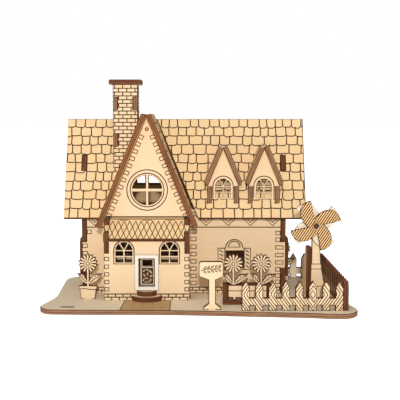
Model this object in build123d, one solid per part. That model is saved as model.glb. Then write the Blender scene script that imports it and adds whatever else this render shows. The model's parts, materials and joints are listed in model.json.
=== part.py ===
from build123d import *
from math import cos, radians, sin, tan
import os

# Laser-cut plywood cottage kit. Millimetres, +X to the right of the front door,
# +Y towards the back, +Z up, origin under the middle of the base board.

# --- sheet and slopes ---
ply = 3.0                     # every panel is cut from one 3 mm sheet
slope = 67.5                  # pitch of the main, gable and dormer roofs, degrees
rise, run = sin(radians(slope)), cos(radians(slope))
pitch = tan(radians(slope))

# --- base board ---
board_outline = [
    (-84, -49.6), (-60, -50.4), (-36, -50.6), (0, -52.4), (40, -56.4), (72, -60.2), (87, -60.2),
    (92.8, -52), (91.4, -36), (90.6, 0), (91.2, 40), (89.5, 58), (81, 60.8), (30, 60.6),
    (-30, 60.6), (-78, 60.8), (-87, 56), (-89.6, 38), (-88.2, 10), (-87.6, -12), (-91.4, -32),
    (-91.8, -42),
]
spare_slot = (-79.6, -43.1, -72.3, -40.9)      # an unused slot left in the board

# --- main house ---
wall_left, wall_right = -73.0, 55.5            # outer faces of the side walls
wall_front, wall_back = -2.0, 38.0             # outer faces of the front and back walls
wall_top = 57.0
corner_tab = (19.0, 36.0)                      # where front and back walls reach the corners
attic_z = 54.0
ridge_y, ridge_z = 18.0, 112.0                 # line where the roof undersides meet
roof_left, roof_right = -83.1, 67.4
roof_length = 66.4                             # ridge to eave, along the slope
wall_tab = (25.0, 35.0)                        # side wall tabs in the roof, down from the ridge

# --- porch and cross gable ---
porch_x = -30.8
porch_half = 26.0
porch_front = -24.0                            # front face of the porch wall
porch_slope = 48.65
porch_eave = (-24.75, 39.0)                    # lower edge of the lean-to's underside (Y, Z)
porch_roof_length = 14.6
shoulder_z = 31.7                              # above this the porch side walls show in front
gable_z = 115.1                                # where the gable roof undersides meet
gable_front, gable_wall_front = -26.0, -16.0
gable_wall_foot = 50.0
gable_shoulder = 53.6                          # where the gable wall widens above the lean-to
gable_length = 73.6
roof_gap = (0.5, 1.9)                          # clearance right of the gable, at ridge and eave
round_window_z, round_window_r = 69.7, 9.0

# --- door and steps ---
frame_half, frame_z = 7.2, (9.4, 31.0)
collar_half, collar_z = 6.2, (10.4, 30.0)
doorway_half, doorway_z = 4.9, (11.7, 28.9)
frame_plate, collar_back = 1.6, -19.0
leaf_thickness, leaf_gap = 1.6, 0.25
hinge_y = -21.2
hinge_x = porch_x - doorway_half + 1.1
pin_r, pin_length, pin_clearance = 0.5, 0.85, 0.05

# --- chimney ---
chimney_x, chimney_half = -45.3, 7.8
chimney_front, chimney_back = 2.0, 15.0
chimney_top = 134.5
chimney_tabs = [(96.0, 103.6), (119.0, 126.5)]
cap_half, flue_half = (10.0, 8.6), (4.5, 3.0)

# --- dormers ---
dormer_centres = {"left": 15.9, "right": 41.3}
dormer_z = 94.9
dormer_length = 24.0
dormer_front, dormer_wall_front = -11.0, -5.4
cheek_inner, cheek_outer, cheek_top = 6.9, 9.9, 71.2

# --- garden ---
front_pitch, side_pitch, fence_gap = 7.7, 7.4, 3.1
picket_top, picket_shoulder = 20.4, 16.6
rail_z = (6.1, 10.5)
fence_front_y, fence_right_x, fence_back_y = -53.5, 84.0, 54.4
front_pickets, side_pickets = 8, 15
planter_x, planter_y, planter_top = (15.1, 44.2), (-37.0, -27.0), 14.8
planter_slit = 1.3                             # open strip under the front and back boards
planter_flowers_x, planter_flower_z = (21.4, 38.0), 27.0
pot_places = {"flower_pot_front": (-67.1, -20.2), "flower_pot_rear": (57.5, 42.0)}
sign_x, sign_y = 8.5, -51.0

# --- windmill ---
hub_x, hub_z = 69.3, 50.7
tower_left = [(-2.3, 3.0), (-1.9, 24.0), (-1.9, 27.0), (-1.5, 27.0), (-1.4, 50.7)]
tower_right = [(8.4, 3.0), (7.2, 10.4), (4.6, 24.0), (4.6, 27.0), (4.1, 27.0), (2.7, 50.7)]
tower_tab = 3.0                                # all three measured from the hub
tower_front_y = -34.0
tower_side_x = 65.1                            # left face of the plate behind the tower
rotor_r = 15.0
rotor_plate = 1.5
rotor_front_y, rotor_back_y = -41.0, -38.6
axle_r, axle_clearance = 1.0, 0.05

far = 200.0                                    # longer than anything here


# --- flat outlines and panels ---
def box(x0, z0, x1, z1):
    return Pos((x0 + x1) / 2, (z0 + z1) / 2) * Rectangle(abs(x1 - x0), abs(z1 - z0))


def outline(points):
    return make_face(Polyline(*points, close=True))


def facing_front(shape, y, thickness=ply):
    """Outline in (X, Z), front face at y."""
    plane = Plane(origin=(0, y, 0), x_dir=(1, 0, 0), z_dir=(0, -1, 0))
    return extrude(plane * shape, amount=thickness, dir=(0, 1, 0))


def facing_side(shape, x, thickness=ply):
    """Outline in (Y, Z), left face at x."""
    plane = Plane(origin=(x, 0, 0), x_dir=(0, 1, 0), z_dir=(1, 0, 0))
    return extrude(plane * shape, amount=thickness, dir=(1, 0, 0))


def lying(shape, z, thickness=ply):
    """Outline in (X, Y), underside at z."""
    return extrude(Pos(0, 0, z) * shape, amount=thickness, dir=(0, 0, 1))


def cut(piece, *tools):
    for tool in tools:
        piece = piece - tool
    return piece


def mirrored_in_x(piece, x):
    return mirror(piece, about=Plane(origin=(x, 0, 0), z_dir=(1, 0, 0)))


def foot_tabs(shape, centres, width=7.0):
    """Tabs that go down through the base board."""
    for centre in centres:
        shape = shape + box(centre - width / 2, 0, centre + width / 2, ply + 0.5)
    return shape


# --- windows ---
def arched_opening(x, sill, width, top):
    radius = width / 2
    return box(x - radius, sill, x + radius, top - radius) + Pos(x, top - radius) * Circle(radius)


def arched_bars(x, sill, width, top, bar=0.9):
    """One upright, two rails and a V in the arch."""
    spring = top - width / 2
    middle = (sill + spring) / 2
    bars = box(x - bar / 2, sill - 1, x + bar / 2, spring)
    bars += box(x - width, spring - bar / 2, x + width, spring + bar / 2)
    bars += box(x - width, middle - bar / 2, x + width, middle + bar / 2)
    for side in (-1, 1):
        bars += Pos(x, spring) * Rot(0, 0, -side * 30) * Pos(0, width / 2) * Rectangle(bar, width)
    return bars


def arched_window(x, sill, width, top, bar=0.9):
    return arched_opening(x, sill, width, top) - arched_bars(x, sill, width, top, bar)


def round_window(x, z, radius):
    return Pos(x, z) * (Circle(radius) - Rectangle(1.8, far) - Rectangle(far, 2.2))


# --- roofs ---
main_outer_y = ridge_y - ply * rise            # front corner of the ridge
main_outer_z = ridge_z + ply * run


def roof_surface_z(y):
    return main_outer_z - (main_outer_y - y) * pitch


def roof_surface_y(z):
    return main_outer_y - (main_outer_z - z) / pitch


def below_main_roof():
    low = 40
    section = outline([(roof_surface_y(low), low), (main_outer_y, main_outer_z),
                       (far, main_outer_z), (far, low)])
    return facing_side(section, -far, 2 * far)


def behind_main_roof():
    low, high = 30, 125
    section = outline([(roof_surface_y(low), low), (roof_surface_y(high), high),
                       (far, high), (far, low)])
    return facing_side(section, -far, 2 * far)


def below_gable(apex_z, back):
    low = 40
    reach = (apex_z - low) / pitch
    section = outline([(porch_x - reach, low), (porch_x, apex_z), (porch_x + reach, low)])
    return facing_front(section, gable_front, back - gable_front)


def pitched_panel(x, apex_z, length, y_front, y_back):
    """Right-hand panel of a small roof whose ridge runs front to back."""
    inside = Plane(origin=(x, 0, apex_z), x_dir=(0, 1, 0), z_dir=(rise, 0, run))
    panel = extrude(inside * box(y_front, -length, y_back, 0), amount=ply, dir=inside.z_dir)
    return cut(panel, behind_main_roof())


def main_roof_plane(side):
    """Underside of the front (-1) or back (+1) slope; local Y runs along the slope."""
    return Plane(origin=(0, ridge_y, ridge_z), x_dir=(1, 0, 0), z_dir=(0, side * rise, run))


def main_roof_front(x0, x1):
    inside = main_roof_plane(-1)
    panel = extrude(inside * box(x0, -roof_length, x1, 0), amount=ply, dir=inside.z_dir)
    return cut(panel, below_gable(gable_z, ridge_y))


def right_of_gable():
    """Opening in the right-hand main roof: wider than the gable roof, by more towards the eave."""
    def edge(z, gap):
        return porch_x + (gable_z + ply / run - z) / pitch + gap, z
    section = outline([(porch_x - 60, 40), edge(40, roof_gap[1]), edge(116, roof_gap[0]),
                       (porch_x - 60, 116)])
    return facing_front(section, gable_front, ridge_y - gable_front)


def main_roof_back():
    inside = main_roof_plane(1)
    sheet = box(roof_left, 0, roof_right, roof_length)
    skylight = box(-40.5, 34, -24.5, 46) - box(-35.2, 30, -32.8, 50)
    return extrude(inside * (sheet - skylight), amount=ply, dir=inside.z_dir)


def roof_tab(side, near, distance):
    """Tab through the main roof in the (Y, Z) plane, between two distances down from the ridge."""
    def corner(along, out):
        y = along * run + out * rise
        return ridge_y + side * y, ridge_z - along * rise + out * run
    return outline([corner(near, -1), corner(near, ply), corner(distance, ply),
                    corner(distance, -1)])


def slot_tab(y0, y1):
    """Upright tab between two Y values, from the roof surface down through the sheet."""
    depth = ply / run
    return outline([(y0, roof_surface_z(y0) + 1), (y0, roof_surface_z(y0) - depth),
                    (y1, roof_surface_z(y1) - depth), (y1, roof_surface_z(y1) + 1)])


# --- main house ---
def long_wall(openings, y, tab_centres):
    inner = box(wall_left + ply, ply, wall_right - ply, wall_top)
    wide = box(wall_left, corner_tab[0], wall_right, corner_tab[1])
    return facing_front(foot_tabs(inner + wide, tab_centres) - openings, y)


def front_wall():
    doorway = box(porch_x - 6, ply, porch_x + 6, 29) + box(porch_x - 21.5, 27.5, porch_x + 21.5, 42)
    window = box(18.0, 19.5, 28.7, 30.0)
    return long_wall(doorway + window, wall_front, (-62, 12, 38))


def back_wall():
    windows = arched_window(-36, 18, 11, 36) + arched_window(36, 18, 11, 36)
    return long_wall(windows, wall_back - ply, (-55, 0, 40))


def side_wall(x):
    wall_shoulder = ridge_z - (ridge_y - wall_front) * pitch
    shape = outline([(wall_front, ply), (wall_back, ply), (wall_back, wall_shoulder),
                     (ridge_y, ridge_z), (wall_front, wall_shoulder)])
    for side in (-1, 1):
        shape = shape + roof_tab(side, *wall_tab)
    shape = foot_tabs(shape, (8, 28))
    return facing_side(shape - box(12.6, 15.6, 23.4, 33.4), x)


def window_frame(x):
    """Shouldered frame plate on the outside of a side wall, with its own glazing bars."""
    shape = outline([(9.5, 12), (26.5, 12), (26.5, 33.5), (23.5, 36.5), (12.5, 36.5), (9.5, 33.5)])
    return facing_side(shape - arched_window(18, 16, 10, 33), x)


def attic_floor():
    shape = box(wall_left + ply, wall_front + ply, wall_right - ply, wall_back - ply)
    for y in (11, 25):
        shape = shape + box(wall_left, y - 3, wall_right, y + 3)
    return lying(shape, attic_z)


# --- porch and gable ---
def porch_front_wall():
    top = porch_eave[1] + 0.8
    shape = box(porch_x - porch_half, ply, porch_x + porch_half, shoulder_z)
    shape += box(porch_x - porch_half + ply, ply, porch_x + porch_half - ply, top)
    shape = foot_tabs(shape, (porch_x - 18, porch_x + 18))
    for side in (-1, 1):
        shape = shape - arched_window(porch_x + side * 13.8, 26.4, 10.1, 38.6)
    return facing_front(shape - box(porch_x - collar_half, collar_z[0],
                                    porch_x + collar_half, collar_z[1]), porch_front)


def porch_side_wall(x):
    """Its top follows the lean-to's underside; two noses stand through the roof's notches."""
    y_eave, z_eave = porch_eave
    lean = tan(radians(porch_slope))
    top = 50.0
    shape = outline([(porch_front, ply), (wall_front, ply), (wall_front, top),
                     (y_eave + (top - z_eave) / lean, top),
                     (porch_front, z_eave + (porch_front - y_eave) * lean)])
    shape += box(-27.3, 38.9, -20, 45.0) + box(-20, 46, -15, 52.2)
    return facing_side(foot_tabs(shape, (-12,)), x)


def porch_roof():
    inside = Plane(origin=(0, *porch_eave), x_dir=(1, 0, 0),
                   z_dir=(0, -sin(radians(porch_slope)), cos(radians(porch_slope))))
    sheet = box(porch_x - porch_half, 0, porch_x + porch_half, porch_roof_length)
    return extrude(inside * sheet, amount=ply, dir=inside.z_dir)


def porch_ceiling():
    inner = porch_half - ply
    shape = box(porch_x - inner, -14.4, porch_x + inner, wall_front)
    shape += box(porch_x - porch_half, -10, porch_x + porch_half, -5)
    return lying(shape, gable_wall_foot - ply)


def gable_wall():
    reach = (gable_z - gable_shoulder) / pitch
    inner = porch_half - ply
    shape = outline([(porch_x - inner, gable_wall_foot), (porch_x + inner, gable_wall_foot),
                     (porch_x + inner, gable_shoulder), (porch_x + reach, gable_shoulder),
                     (porch_x, gable_z), (porch_x - reach, gable_shoulder),
                     (porch_x - inner, gable_shoulder)])
    for x in (porch_x - 14, porch_x, porch_x + 14):
        shape += box(x - 2.3, gable_wall_foot - ply, x + 2.3, gable_wall_foot + 1)
    return facing_front(shape - round_window(porch_x, round_window_z, round_window_r),
                        gable_wall_front)


def door_frame():
    """Front plate with a collar behind it that lines the hole in the porch wall."""
    doorway = box(porch_x - doorway_half, doorway_z[0], porch_x + doorway_half, doorway_z[1])
    plate = box(porch_x - frame_half, frame_z[0], porch_x + frame_half, frame_z[1]) - doorway
    collar = box(porch_x - collar_half, collar_z[0], porch_x + collar_half, collar_z[1]) - doorway
    frame = facing_front(plate, porch_front - frame_plate, frame_plate)
    frame += facing_front(collar, porch_front, collar_back - porch_front)
    depth = pin_length + 0.1 - leaf_gap
    for z in (doorway_z[0] - depth, doorway_z[1]):
        frame -= Pos(hinge_x, hinge_y, z + depth / 2) * Cylinder(pin_r + pin_clearance, depth)
    return frame


def door_leaf():
    low, high = doorway_z[0] + leaf_gap, doorway_z[1] - leaf_gap
    free_edge = porch_x + doorway_half - leaf_gap
    pane = box(porch_x - 2.6, 24.0, porch_x + 3.2, 27.4)
    leaf = facing_front(box(hinge_x, low, free_edge, high) - pane,
                        hinge_y - leaf_thickness / 2, leaf_thickness)
    middle = (low + high) / 2
    leaf += Pos(hinge_x, hinge_y, middle) * Cylinder(leaf_thickness / 2, high - low)
    leaf += Pos(hinge_x, hinge_y, middle) * Cylinder(pin_r, high - low + 2 * pin_length)
    return leaf


def step(half_width, reach, z):
    """Rounded step against the porch wall."""
    edge = ThreePointArc((porch_x - half_width, porch_front), (porch_x, porch_front - reach),
                         (porch_x + half_width, porch_front))
    back = Line((porch_x + half_width, porch_front), (porch_x - half_width, porch_front))
    return lying(make_face(Curve() + [edge, back]), z)


# --- chimney ---
def chimney_parts():
    left, right = chimney_x - chimney_half, chimney_x + chimney_half
    low = 60
    roofs = [below_main_roof(), below_gable(gable_z + ply / run, ridge_y)]
    sheet = box(left, low, right, chimney_top)
    sides = {}
    for name, x in (("left", left), ("right", right - ply)):
        shape = box(chimney_front + ply, low, chimney_back - ply, chimney_top)
        for z0, z1 in chimney_tabs:
            shape += box(chimney_front, z0, chimney_back, z1)
        sides[name] = cut(facing_side(shape, x), *roofs)
    sides["left"] += facing_side(slot_tab(6, 11), left)
    parts = {"chimney_left": sides["left"], "chimney_right": sides["right"]}
    for name, y in (("front", chimney_front), ("back", chimney_back - ply)):
        parts["chimney_" + name] = cut(facing_front(sheet, y), *roofs, *sides.values())
    middle_y = (chimney_front + chimney_back) / 2
    cap = Pos(chimney_x, middle_y) * (Rectangle(2 * cap_half[0], 2 * cap_half[1])
                                      - Rectangle(2 * flue_half[0], 2 * flue_half[1]))
    parts["chimney_cap"] = lying(cap, chimney_top)
    return parts


# --- dormers ---
def dormer_parts(name, x):
    prefix = "dormer_" + name + "_"
    front = dormer_wall_front - 1
    cheek = outline([(front, roof_surface_z(front) - 8), (front, cheek_top),
                     (roof_surface_y(cheek_top), cheek_top), (10, cheek_top - 4),
                     (10, roof_surface_z(front) - 8)])
    left = cut(facing_side(cheek, x - cheek_outer), below_main_roof())
    left += facing_side(slot_tab(-6.6, -4.4), x - cheek_outer)
    half = (dormer_z - cheek_top) / pitch
    wall = outline([(x - cheek_inner, 58), (x + cheek_inner, 58), (x + cheek_inner, cheek_top),
                    (x + half, cheek_top), (x, dormer_z), (x - half, cheek_top),
                    (x - cheek_inner, cheek_top)])
    wall = wall - arched_window(x, 64, 9.6, 75.9, 0.8)
    roof = pitched_panel(x, dormer_z, dormer_length, dormer_front, 15)
    return {
        prefix + "wall": cut(facing_front(wall, dormer_wall_front), below_main_roof()),
        prefix + "cheek_left": left,
        prefix + "cheek_right": mirrored_in_x(left, x),
        prefix + "roof_left": mirrored_in_x(roof, x),
        prefix + "roof_right": roof,
    }


# --- garden ---
def fence_outline(start, pickets, pitch_x):
    """Pointed pickets on one rail, with a tab under every third foot."""
    width = pitch_x - fence_gap
    shape = box(start, rail_z[0], start + pickets * pitch_x - fence_gap, rail_z[1])
    for n in range(pickets):
        x = start + n * pitch_x
        shape += outline([(x, ply), (x + width, ply), (x + width, picket_shoulder),
                          (x + width * 0.62, picket_top - 0.7), (x + width / 2, picket_top),
                          (x + width * 0.38, picket_top - 0.7), (x, picket_shoulder)])
        if n % 3 == 1:
            shape += box(x, 0, x + width, ply + 0.5)
    return shape


def flower_head(x, z, radius=6.1, petals=14):
    head = Pos(x, z) * Circle(radius * 0.62)
    petal = outline([(-0.75, radius * 0.5), (0.75, radius * 0.5), (1.0, radius * 0.8),
                     (0.25, radius), (-0.85, radius * 0.86)])
    for n in range(petals):
        head += Pos(x, z) * Rot(0, 0, n * 360 / petals) * petal
    return head


def leaf_outline(x, z, side):
    """Pointed leaf that springs from the stem at (x, z); the right-hand ones reach further."""
    reach, height = (9.0, 6.5) if side > 0 else (6.5, 6.7)
    upper = [(0, 0.14), (0.15, 0.45), (0.3, 0.73), (0.53, 0.92), (0.78, 0.93), (1, 1)]
    lower = [(1, 1), (0.84, 0.66), (0.64, 0.31), (0.39, 0.1), (0, -0.06)]
    upper, lower = ([(x + side * reach * u, z + height * v) for u, v in edge]
                    for edge in (upper, lower))
    return make_face(Curve() + [Spline(*upper), Spline(*lower), Line(lower[-1], upper[0])])


def flower_pot(x, y):
    shape = outline([(x - 4.3, ply), (x + 4.3, ply), (x + 5.1, 9.2), (x + 5.6, 9.2),
                     (x + 5.6, 11.3), (x - 5.6, 11.3), (x - 5.6, 9.2), (x - 5.1, 9.2)])
    shape += box(x - 0.8, 11, x + 0.8, 21) + flower_head(x, 25)
    for side in (-1, 1):
        shape += leaf_outline(x, 12.4, side)
    return facing_front(foot_tabs(shape, (x,), 5.0), y)


def planter_parts():
    """Box on a full-width bottom board that lies on the base; the ends' tabs pass through it."""
    x0, x1 = planter_x
    y0, y1 = planter_y
    low, high = 2 * ply, planter_top
    end = box(y0, low, y1, high) + box(y0 + 2, 0, y1 - 2, low + 0.5)
    parts = {"planter_left": facing_side(end, x0), "planter_right": facing_side(end, x1 - ply)}
    parts["planter_bottom"] = cut(lying(box(x0, y0, x1, y1), ply), *parts.values())
    board = box(x0 + ply, low + planter_slit, x1 - ply, high)
    for x in planter_flowers_x:
        board += box(x - 0.4, low, x + 1.4, low + planter_slit + 0.5)
    parts["planter_front"] = facing_front(board, y0)
    parts["planter_back"] = facing_front(board, y1 - ply)
    middle = (x0 + x1) / 2
    flowers = box(x0 + ply, low, x1 - ply, high)
    for x in planter_flowers_x:
        flowers += box(x - 0.8, high - 1, x + 0.8, 24) + flower_head(x, planter_flower_z)
        for side in (-1, 1):
            flowers += leaf_outline(x, high - 0.2, side)
    flowers += box(middle - 0.5, high - 1, middle + 0.5, high + 3)
    parts["planter_flowers"] = facing_front(flowers, (y0 + y1 - ply) / 2)
    return parts


def sign_board():
    """Blank notice board on a post with a flared foot."""
    x = sign_x
    middle = x - 0.6
    board = Pos(middle, 26.8) * RectangleRounded(14.2, 9.0, 1.8)
    board += outline([(x - 2.2, 20.4), (x + 2.2, 20.4), (middle + 7.1, 22.5),
                      (middle + 7.1, 27), (middle - 7.1, 27), (middle - 7.1, 22.5)])
    foot = outline([(x - 5.1, ply), (x + 5.1, ply), (x + 5.1, 4.4), (x + 2.05, 6.7),
                    (x - 2.05, 6.7), (x - 5.1, 4.4)])
    shape = board + foot + box(x - 2.05, 6, x + 2.05, 22)
    return facing_front(foot_tabs(shape, (x,), 5.0), sign_y)


# --- windmill ---
def tower_parts():
    body = outline([(hub_x + x, z) for x, z in tower_right + tower_left[::-1]])
    body += Pos(hub_x, hub_z) * Circle(2.4)
    body -= Pos(hub_x, hub_z) * Circle(axle_r + axle_clearance)
    body = foot_tabs(body, (hub_x + tower_tab,), 5.0)
    behind = tower_front_y + ply
    side = outline([(behind, ply), (-7, ply), (-25, 37), (behind, 37)])
    side = foot_tabs(side, (-25.5, -12), 5.0)
    return {
        "tower_front": facing_front(body, tower_front_y),
        "tower_brace": facing_side(side, tower_side_x),
    }


def blade(r):
    """One straight edge out to the tip and a full curve back to the hub."""
    belly = [(r, 0), (r, 11), (0.955 * r, 23), (0.83 * r, 37.5), (0.72 * r, 47),
             (0.53 * r, 62), (0.34 * r, 82), (0.26 * r, 97)]
    curve = [(length * cos(radians(turn)), length * sin(radians(turn))) for length, turn in belly]
    return make_face(Curve() + [Line((0, 0), curve[0]), Spline(*curve), Line(curve[-1], (0, 0))])


def rotor(first_blade, mirrored):
    shape = Circle(2.4)
    for n in range(4):
        shape += Rot(0, 0, 90 * n) * blade(rotor_r)
    if mirrored:
        shape = mirror(shape, about=Plane.YZ)
    shape = Rot(0, 0, first_blade) * shape - Circle(axle_r)
    return Pos(hub_x, hub_z) * shape


def rotor_parts():
    def disc(radius, y0, y1):
        return facing_front(Pos(hub_x, hub_z) * Circle(radius), y0, y1 - y0)

    axle = disc(axle_r, rotor_front_y, tower_front_y + ply + 1.2)
    spacer_gap = 0.2
    axle += disc(2.0, rotor_front_y + rotor_plate, rotor_back_y)
    axle += disc(2.0, rotor_back_y + rotor_plate, tower_front_y - spacer_gap)
    axle += disc(1.8, tower_front_y + ply + spacer_gap, tower_front_y + ply + 1.2)
    return {
        "rotor_front": facing_front(rotor(11, False), rotor_front_y, rotor_plate),
        "rotor_back": facing_front(rotor(50, True), rotor_back_y, rotor_plate),
        "rotor_axle": axle,
        "rotor_cap": disc(2.1, rotor_front_y - 1.2, rotor_front_y),
    }


# --- assembly ---
def base_board(standing):
    """Wavy board, centred on the origin, with a slot for every piece that stands in it."""
    shape = make_face(Spline(*board_outline, periodic=True)) - box(*spare_slot)
    middle = shape.bounding_box().center()
    return cut(lying(Pos(-middle.X, -middle.Y) * shape, 0), *standing)


def build():
    parts = {"attic_floor": attic_floor(), "front_wall": front_wall(), "back_wall": back_wall()}
    for name, x in (("left_side_wall", wall_left), ("right_side_wall", wall_right - ply)):
        parts[name] = cut(side_wall(x), parts["front_wall"], parts["back_wall"],
                          parts["attic_floor"])
    parts["window_frame_left"] = window_frame(wall_left - ply)
    parts["window_frame_right"] = window_frame(wall_right)

    parts["porch_ceiling"] = porch_ceiling()
    parts["gable_wall"] = gable_wall()
    parts["porch_ceiling"] = cut(parts["porch_ceiling"], parts["gable_wall"])
    parts["porch_front_wall"] = porch_front_wall()
    for name, x in (("porch_left_wall", porch_x - porch_half),
                    ("porch_right_wall", porch_x + porch_half - ply)):
        parts[name] = cut(porch_side_wall(x), parts["porch_front_wall"], parts["porch_ceiling"])
    parts["gable_roof_right"] = pitched_panel(porch_x, gable_z, gable_length, gable_front, ridge_y)
    parts["gable_roof_left"] = mirrored_in_x(parts["gable_roof_right"], porch_x)
    under_porch_roof = ("gable_wall", "porch_left_wall", "porch_right_wall", "gable_roof_left",
                        "gable_roof_right")
    parts["porch_roof"] = cut(porch_roof(), *[parts[name] for name in under_porch_roof])
    parts["door_frame"] = door_frame()
    parts["door_leaf"] = door_leaf()
    parts["step_lower"] = step(9.2, 6.6, ply)
    parts["step_upper"] = step(6.0, 4.0, 2 * ply)

    parts.update(chimney_parts())
    for name, x in dormer_centres.items():
        parts.update(dormer_parts(name, x))
    side_walls = [parts["left_side_wall"], parts["right_side_wall"]]
    cheeks = [piece for name, piece in parts.items() if "cheek" in name]
    parts["main_roof_front_left"] = cut(main_roof_front(roof_left, porch_x), *side_walls,
                                        parts["chimney_left"])
    parts["main_roof_front_right"] = cut(main_roof_front(porch_x, roof_right), *side_walls,
                                         *cheeks, right_of_gable())
    parts["main_roof_back"] = cut(main_roof_back(), *side_walls)

    fence_left = fence_right_x - front_pickets * front_pitch + fence_gap
    front_fence = fence_outline(fence_left, front_pickets, front_pitch)
    back_fence = fence_outline(fence_left, front_pickets, front_pitch)
    parts["fence_front"] = facing_front(front_fence, fence_front_y)
    parts["fence_right"] = facing_side(
        fence_outline(fence_front_y, side_pickets, side_pitch), fence_right_x)
    parts["fence_back"] = facing_front(back_fence, fence_back_y - ply)
    parts.update(planter_parts())
    for name, place in pot_places.items():
        parts[name] = flower_pot(*place)
    parts["sign_board"] = sign_board()
    parts.update(tower_parts())
    parts.update(rotor_parts())

    standing = [piece for piece in parts.values() if piece.bounding_box().min.Z < ply - 0.01]
    parts["base_board"] = base_board(standing)
    return parts


def main():
    os.makedirs("parts", exist_ok=True)
    parts = build()
    for name, piece in parts.items():
        export_step(piece, "parts/" + name + ".step")
    print(len(parts), "parts")


main()
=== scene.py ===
import bpy, bmesh, math, random
from mathutils import Matrix, Vector
import json

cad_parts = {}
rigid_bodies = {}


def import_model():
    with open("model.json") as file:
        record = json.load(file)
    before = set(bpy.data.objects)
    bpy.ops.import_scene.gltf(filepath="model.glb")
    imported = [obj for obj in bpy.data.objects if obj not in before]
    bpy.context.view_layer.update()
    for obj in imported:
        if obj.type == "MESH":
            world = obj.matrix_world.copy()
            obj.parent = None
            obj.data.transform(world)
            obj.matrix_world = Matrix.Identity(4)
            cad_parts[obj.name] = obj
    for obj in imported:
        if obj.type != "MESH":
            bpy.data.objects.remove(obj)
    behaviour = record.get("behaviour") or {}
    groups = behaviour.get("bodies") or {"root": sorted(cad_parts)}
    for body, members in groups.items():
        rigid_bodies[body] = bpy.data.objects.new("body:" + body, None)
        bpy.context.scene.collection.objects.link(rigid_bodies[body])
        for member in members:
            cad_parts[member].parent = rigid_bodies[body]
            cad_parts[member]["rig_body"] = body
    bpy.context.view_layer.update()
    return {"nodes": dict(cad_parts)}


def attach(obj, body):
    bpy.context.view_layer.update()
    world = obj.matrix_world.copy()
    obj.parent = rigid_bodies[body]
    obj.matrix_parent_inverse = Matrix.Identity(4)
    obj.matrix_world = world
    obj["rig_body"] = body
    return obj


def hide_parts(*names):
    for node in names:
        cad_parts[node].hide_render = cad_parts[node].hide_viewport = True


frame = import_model()
mm = 0.001
random.seed(11)  # each sheet's grain and shades

# where the camera stands in mm, its tilt down in degrees, its lens in mm
cameraSet = {"stand": (1.5, -544.0, 111.1), "lookDown": 5.14, "lens": 78.0, "nearest": 0.01}


def addCamera(spec):
    bpy.ops.object.camera_add(location=Vector(spec["stand"]) * mm,
                              rotation=(math.radians(90 - spec["lookDown"]), 0, 0))
    camera = bpy.context.object
    camera.data.lens = spec["lens"]
    camera.data.clip_start = spec["nearest"]
    bpy.context.scene.camera = camera


lights = {
    "flashLight": {"at": (0.009, -0.90, 0.29), "size": 0.045, "power": 4.4, "colour": (1.0, 0.985, 0.96)},
    "topLight": {"at": (-0.2, -0.35, 0.95), "size": 0.7, "power": 2.8, "colour": (1.0, 1.0, 1.0)},
}


def addLights(specs, aim=(0, 0, 0.05)):
    for name, spec in specs.items():
        turn = (Vector(aim) - Vector(spec["at"])).to_track_quat("-Z", "Y").to_euler()
        bpy.ops.object.light_add(type="AREA", location=spec["at"], rotation=turn)
        lamp = bpy.context.object
        lamp.name = name
        lamp.data.size = spec["size"]
        lamp.data.energy = spec["power"]
        lamp.data.color = spec["colour"]


# shown is the strength that the camera sees, shining the one that lights the model
studio = {"world": {"shown": 1.0, "shining": 0.28},
          "floor": {"shown": 1.0, "shining": 0.5, "size": 30.0, "grey": 0.96, "roughness": 0.9}}


def paleGlow(tree, socket, spec):
    seen = tree.nodes.new("ShaderNodeLightPath")
    level = tree.nodes.new("ShaderNodeMapRange")
    level.inputs["To Min"].default_value = spec["shining"]
    level.inputs["To Max"].default_value = spec["shown"]
    tree.links.new(seen.outputs["Is Camera Ray"], level.inputs["Value"])
    tree.links.new(level.outputs["Result"], socket)


def addWorld(spec):
    world = bpy.data.worlds.new("studio")
    bpy.context.scene.world = world
    world.use_nodes = True
    tree = world.node_tree
    back = tree.nodes["Background"]
    back.inputs["Color"].default_value = (1, 1, 1, 1)
    paleGlow(tree, back.inputs["Strength"], spec)


def addFloor(spec):
    bpy.ops.mesh.primitive_plane_add(size=spec["size"], location=(0, 0, 0))
    floor = bpy.context.object
    floor.name = "studioFloor"
    paper = bpy.data.materials.new("paleFloor")
    paper.use_nodes = True
    shader = paper.node_tree.nodes["Principled BSDF"]
    shader.inputs["Base Color"].default_value = (spec["grey"], spec["grey"], spec["grey"], 1)
    shader.inputs["Roughness"].default_value = spec["roughness"]
    shader.inputs["Emission Color"].default_value = (1, 1, 1, 1)
    paleGlow(paper.node_tree, shader.inputs["Emission Strength"], spec)
    floor.data.materials.append(paper)


bpy.context.scene.view_settings.view_transform = "Standard"
addCamera(cameraSet)
addLights(lights)
addWorld(studio["world"])
addFloor(studio["floor"])
print("camera, lights and floor are in")


# shader nodes, each added with its links
def newGroup(name, inputs, outputs):
    group = bpy.data.node_groups.new(name, "ShaderNodeTree")
    for label, kind, value in inputs:
        socket = group.interface.new_socket(label, in_out="INPUT", socket_type=kind)
        if value is not None:
            socket.default_value = value
    for label, kind in outputs:
        group.interface.new_socket(label, in_out="OUTPUT", socket_type=kind)
    return group, group.nodes.new("NodeGroupInput"), group.nodes.new("NodeGroupOutput")


def addMath(tree, operation, first, second):
    node = tree.nodes.new("ShaderNodeMath")
    node.operation = operation
    for socket, value in zip(node.inputs, (first, second)):
        if isinstance(value, (int, float)):
            socket.default_value = value
        else:
            tree.links.new(value, socket)
    return node.outputs[0]


def addNoise(tree, vector, detail, roughness=0.55):
    node = tree.nodes.new("ShaderNodeTexNoise")
    node.inputs["Scale"].default_value = 1.0
    node.inputs["Detail"].default_value = detail
    node.inputs["Roughness"].default_value = roughness
    tree.links.new(vector, node.inputs["Vector"])
    return node.outputs["Fac"]


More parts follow.
